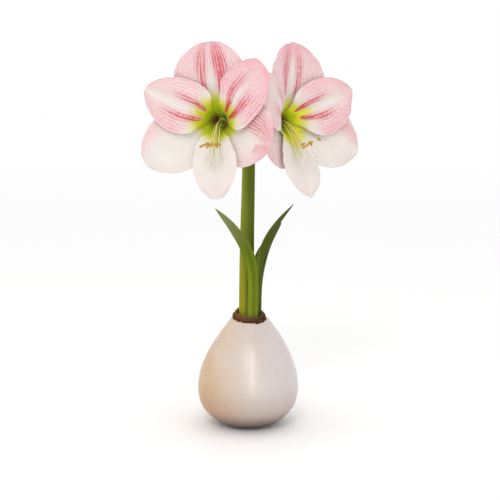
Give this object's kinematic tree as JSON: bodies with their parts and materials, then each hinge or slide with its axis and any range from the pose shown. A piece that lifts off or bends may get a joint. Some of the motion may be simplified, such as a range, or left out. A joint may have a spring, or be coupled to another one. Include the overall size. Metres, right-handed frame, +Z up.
{
  "type": "waxed amaryllis bulb",
  "caption": "Flowering amaryllis bulb dipped in wax that stands on its flat wax base, with a bare green scape, open pink and cream blooms and strap leaves.",
  "frame": {"origin": "centre of the flat underside of the wax coat, where it stands on a table", "axes": "+Z up along the scape, the blooms face -Y, +X to the right as seen from the front"},
  "size_m": [0.2048, 0.152, 0.3743],
  "materials": {
    "wax": "satin",
    "dry_skin": "dry and papery",
    "scape_green": "waxy",
    "leaf_green": "waxy",
    "tube_green": "waxy",
    "tepal_pink": "soft satin",
    "filament_white": "soft satin",
    "style_white": "soft satin",
    "bract_brown": "dry and papery"
  },
  "bodies": {
    "root": {"wax_coat": "wax", "bulb": "dry_skin", "scape": "scape_green", "leaf_front_left": "leaf_green", "leaf_front_right": "leaf_green", "leaf_back_right": "leaf_green", "leaf_back": "leaf_green", "spathe_left": "bract_brown", "spathe_right": "bract_brown", "left_flower_base": "tube_green", "right_flower_base": "tube_green", "left_stamens": "filament_white", "right_stamens": "filament_white", "left_pistil": "style_white", "right_pistil": "style_white", "left_tepal_top": "tepal_pink", "left_tepal_upper_left": "tepal_pink", "left_tepal_lower_left": "tepal_pink", "left_tepal_bottom": "tepal_pink", "left_tepal_lower_right": "tepal_pink", "left_tepal_upper_right": "tepal_pink", "right_tepal_top": "tepal_pink", "right_tepal_upper_left": "tepal_pink", "right_tepal_lower_left": "tepal_pink", "right_tepal_bottom": "tepal_pink", "right_tepal_lower_right": "tepal_pink", "right_tepal_upper_right": "tepal_pink"}
  },
  "joints": []
}
